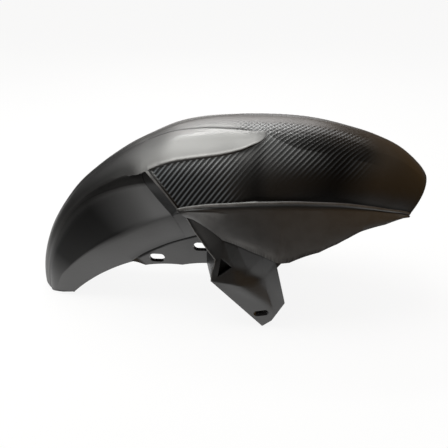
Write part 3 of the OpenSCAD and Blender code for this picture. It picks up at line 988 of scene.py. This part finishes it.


# Painted light and shade of the parts that are joined to the skin.
# a painted highlight on the rolled edge, painted shade on the web and in the pocket
PLAIN_PAINTED_LIGHT = {"rolled_edge": 0.6, "web": -0.9, "pocket": -1.0}
for obj in extra:
    for v in obj.data.vertices:
        v.co *= MM
    for name in LAYERS:
        if name not in obj.data.attributes:
            obj.data.attributes.new(name, "FLOAT", "POINT")
    kind = obj.name.split(".")[0]
    places = [v.co / MM - Vector(AXLE) for v in obj.data.vertices]
    painted_light = [PLAIN_PAINTED_LIGHT.get(kind, 0.0)] * len(places)
    if kind == "pad":
        painted_light = [-pad_painted_shadow(p) for p in places]
    if kind == "guard":
        painted_light = [guard_painted_shade(p) for p in places]
    obj.data.attributes["painted_light"].data.foreach_set("value", painted_light)

# One piece, kept inside the box of the solid.
choose([shell_obj] + extra)
bpy.ops.object.join()
bm = bmesh.new()
bm.from_mesh(shell_obj.data)
bmesh.ops.remove_doubles(bm, verts=bm.verts, dist=0.00002)
bm.to_mesh(shell_obj.data)
bm.free()
low, high = (np.array(corner) for corner in START_BOUNDS)
for v in shell_obj.data.vertices:
    v.co = np.clip(v.co, low, high)
for poly in shell_obj.data.polygons:
    poly.use_smooth = True
shell_obj.data.set_sharp_from_angle(angle=math.radians(24))


# Materials.
class Nodes:
    """Short forms for the nodes of one tree."""

    def __init__(self, tree):
        self.nodes, self.links = tree.nodes, tree.links

    def put(self, socket, value):
        if isinstance(value, bpy.types.NodeSocket):
            self.links.new(value, socket)
        elif value is not None:
            socket.default_value = value

    def add(self, kind, **inputs):
        node = self.nodes.new(kind)
        for name, value in inputs.items():
            self.put(node.inputs[name.replace("_", " ")], value)
        return node

    def math(self, operation, *values):
        node = self.nodes.new("ShaderNodeMath")
        node.operation = operation
        for socket, value in zip(node.inputs, values):
            self.put(socket, value)
        return node.outputs[0]

    def range(self, value, low, high, to_low=0.0, to_high=1.0):
        node = self.add("ShaderNodeMapRange", Value=value)
        node.interpolation_type = "SMOOTHSTEP"
        for name, number in (("From Min", low), ("From Max", high), ("To Min", to_low),
                             ("To Max", to_high)):
            node.inputs[name].default_value = number
        return node.outputs[0]

    def mix(self, factor, a, b):
        node = self.nodes.new("ShaderNodeMix")
        node.data_type = "RGBA"
        self.put(node.inputs["Factor"], factor)
        self.put(node.inputs["A"], a)
        self.put(node.inputs["B"], b)
        return node.outputs["Result"]

    def noise(self, vector, scale, detail=2.0):
        return self.add("ShaderNodeTexNoise", Vector=vector, Scale=scale, Detail=detail).outputs[0]


def gray(level, warm=0.0):
    """Gray, with more red and less blue where it is warm."""
    return (level * (1 + warm), level, level * (1 - warm), 1)


SMOOTH_DARK, SMOOTH_LIGHT = gray(0.011, 0.06), gray(0.016, 0.06)
# the ribs' pattern is real, but their light crests carry a painted highlight and their dark valleys
# painted shade
RIB_VALLEY_SHADE, RIB_CREST_HIGHLIGHT = gray(0.002, -0.2), gray(0.13, -0.1)
# colours of the painted highlight and of the painted shade
PAINTED_HIGHLIGHT, PAINTED_SHADE = gray(0.14, 0.01), gray(0.003)
GRAIN_SCALE, BLOTCH_SCALE, PATCH_SCALE = 1100, 16, 90
RIB_POWER = 2.6  # a higher power makes the light part of a rib narrower
PLASTIC_IOR = 1.6


def plastic():
    """Satin black plastic, with the weave in its ribbed areas, and painted highlights and painted
    shade.
    """
    mat = bpy.data.materials.new("satin_plastic")
    mat.use_nodes = True
    n = Nodes(mat.node_tree)
    bsdf = n.nodes["Principled BSDF"]

    uv = n.nodes.new("ShaderNodeUVMap")
    uv.uv_map = "weave"
    split = n.add("ShaderNodeSeparateXYZ", Vector=uv.outputs[0])
    u, v = split.outputs[0], split.outputs[1]

    def attribute(name):
        node = n.nodes.new("ShaderNodeAttribute")
        node.attribute_name = name
        return node.outputs["Fac"]

    strength, cross, painted_light = (attribute(name) for name in LAYERS)
    # the painted light split into its highlight part and its shade part
    highlight_amount = n.math("MAXIMUM", painted_light, 0.0)
    shade_amount = n.math("MAXIMUM", n.math("MULTIPLY", painted_light, -1.0), 0.0)
    turn = 2 * math.pi / (RIB_PITCH * MM)

    def ribs(phase):
        wave = n.math("MULTIPLY_ADD", n.math("COSINE", n.math("MULTIPLY", phase, turn)), 0.5, 0.5)
        return n.math("POWER", wave, RIB_POWER)

    first = ribs(n.math("ADD", u, v))
    second = n.math("MULTIPLY", ribs(n.math("SUBTRACT", u, v)), cross)
    weave = n.math("MULTIPLY", n.math("MAXIMUM", first, second), strength)

    place = n.nodes.new("ShaderNodeTexCoord").outputs["Object"]
    grain = n.noise(place, GRAIN_SCALE, 3)
    blotch = n.noise(place, BLOTCH_SCALE, 4)
    fine = n.add("ShaderNodeBump", Strength=0.16, Distance=0.0002, Height=grain)
    raised = n.add("ShaderNodeBump", Strength=0.5, Distance=0.0005, Height=weave,
                   Normal=fine.outputs[0])
    n.put(bsdf.inputs["Normal"], raised.outputs[0])

    smooth = n.mix(blotch, SMOOTH_DARK, SMOOTH_LIGHT)
    # painted highlight on the rib crests and painted shade in their valleys
    woven = n.mix(weave, RIB_VALLEY_SHADE, RIB_CREST_HIGHLIGHT)
    # the painted highlight, broken into patches, then the painted shade over it
    highlight_patch = n.math("MULTIPLY", highlight_amount, n.range(n.noise(place, PATCH_SCALE, 3), 0.35, 0.6, 0.55, 1.0))
    color = n.mix(highlight_patch, n.mix(strength, smooth, woven), PAINTED_HIGHLIGHT)
    n.put(bsdf.inputs["Base Color"], n.mix(shade_amount, color, PAINTED_SHADE))
    rough = n.range(blotch, 0.3, 0.7, 0.35, 0.42)
    rough = n.math("ADD", rough, n.math("MULTIPLY", n.math("SUBTRACT", grain, 0.5), 0.08))
    n.put(bsdf.inputs["Roughness"], rough)
    bsdf.inputs["IOR"].default_value = PLASTIC_IOR
    flat = n.math("MULTIPLY", strength, n.math("SUBTRACT", 1.0, n.math("MULTIPLY", cross, 0.8)))
    flat = n.math("MULTIPLY", flat, n.math("SUBTRACT", 1.0, n.math("MULTIPLY", weave, 0.5)))
    sheen = n.math("SUBTRACT", 1.0, n.math("MULTIPLY", flat, 0.7))
    # the painted shade also lowers the sheen
    sheen = n.math("MULTIPLY", sheen, n.math("SUBTRACT", 1.0, n.math("MULTIPLY", shade_amount, 0.85)))
    n.put(bsdf.inputs["Specular IOR Level"], sheen)
    return mat


shell_obj.data.materials.clear()
shell_obj.data.materials.append(plastic())
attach(shell_obj, "root")
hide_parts("mudguard")


# Floor, light and camera.
def seen(n):
    """1 for camera, glossy and transmission rays, which see the white background."""
    path = n.nodes.new("ShaderNodeLightPath")
    sharp = n.math("MAXIMUM", path.outputs["Is Glossy Ray"], path.outputs["Is Transmission Ray"])
    return path.outputs["Is Camera Ray"], sharp


def paper():
    """White floor. Its near part lights the object from below."""
    mat = bpy.data.materials.new("paper")
    mat.use_nodes = True
    n = Nodes(mat.node_tree)
    base = n.nodes["Principled BSDF"]
    base.inputs["Base Color"].default_value = gray(0.84)
    base.inputs["Roughness"].default_value = 0.9
    base.inputs["Specular IOR Level"].default_value = 0.0
    glow = n.add("ShaderNodeEmission", Color=gray(1.0), Strength=1.0)
    camera_ray, sharp_ray = seen(n)
    place = n.add("ShaderNodeSeparateXYZ",
                  Vector=n.nodes.new("ShaderNodeTexCoord").outputs["Object"])
    x, y = place.outputs[0], place.outputs[1]
    near = n.math("MULTIPLY", n.range(y, -0.5, -0.16), n.range(n.math("ABSOLUTE", x), 0.75, 0.3))
    n.put(glow.inputs["Color"], n.mix(n.math("MAXIMUM", camera_ray, near), gray(0.04), gray(1.0)))
    factor = n.math("MULTIPLY", n.math("MAXIMUM", camera_ray, sharp_ray), 0.9)
    blend = n.add("ShaderNodeMixShader", Fac=factor)
    n.links.new(base.outputs[0], blend.inputs[1])
    n.links.new(glow.outputs[0], blend.inputs[2])
    n.links.new(blend.outputs[0], n.nodes["Material Output"].inputs["Surface"])
    return mat


bpy.ops.mesh.primitive_plane_add(size=14, location=(0, 0, -0.0005))
floor = bpy.context.object
floor.name = "floor"
floor.data.materials.append(paper())


def studio():
    """White to the camera and behind the object; a dark room on the near side."""
    world = bpy.data.worlds.new("studio")
    bpy.context.scene.world = world
    world.use_nodes = True
    n = Nodes(world.node_tree)
    way = n.add("ShaderNodeSeparateXYZ",
                Vector=n.nodes.new("ShaderNodeTexCoord").outputs["Generated"])
    x, y, z = way.outputs
    room = n.mix(n.range(x, -0.6, 0.8), (0.045, 0.046, 0.050, 1), (0.19, 0.1, 0.022, 1))
    ceiling = n.math("MULTIPLY", n.range(z, 0.62, 0.95), n.range(x, 0.5, 0.2))
    far = n.math("MULTIPLY", n.range(y, 0.15, 0.7), n.range(z, 0.25, 0.5))
    back = n.math("MULTIPLY", far, n.range(x, 0.25, -0.05))
    color = n.mix(n.math("MAXIMUM", ceiling, back), room, gray(0.9))
    camera_ray, sharp_ray = seen(n)
    n.put(n.nodes["Background"].inputs["Color"], n.mix(camera_ray, color, gray(1.0)))
    n.nodes["Background"].inputs["Strength"].default_value = 1.0


studio()


def lamp(name, place, target, size, radiance, color):
    """Area light that points at a target."""
    data = bpy.data.lights.new(name, "AREA")
    data.shape = "RECTANGLE"
    data.size, data.size_y = size
    data.energy = radiance * math.pi * size[0] * size[1]
    data.color = color
    obj = link(name, data)
    obj.location = place
    obj.rotation_euler = (Vector(target) - Vector(place)).to_track_quat("-Z", "Y").to_euler()


lamp("key", (-0.30, 0.02, 1.15), (-0.05, 0, 0.2), (0.8, 1.0), 4.3, (1.0, 1.0, 0.955))
lamp("streak", (-0.28, 0.60, 1.04), (-0.04, -0.03, 0.23), (0.60, 0.10), 27.0, (1.0, 1.0, 0.97))
lamp("back", (-0.1, 1.1, 0.8), (0, 0, 0.2), (1.0, 0.5), 2.2, (1.0, 0.96, 0.94))

AZIMUTH, ELEVATION, DISTANCE = math.radians(4), math.radians(25), 1.05
TARGET = Vector(AXLE + np.array([-46.07, 0, 171.42])) * MM
camera_data = bpy.data.cameras.new("camera")
camera_data.lens = 62.5
camera_data.sensor_width = 36
camera = link("camera", camera_data)
camera.location = TARGET + DISTANCE * Vector((math.sin(AZIMUTH) * math.cos(ELEVATION),
                                              -math.cos(AZIMUTH) * math.cos(ELEVATION),
                                              math.sin(ELEVATION)))
camera.rotation_euler = (TARGET - camera.location).to_track_quat("-Z", "Y").to_euler()
bpy.context.scene.camera = camera
bpy.context.scene.view_settings.view_transform = "Standard"
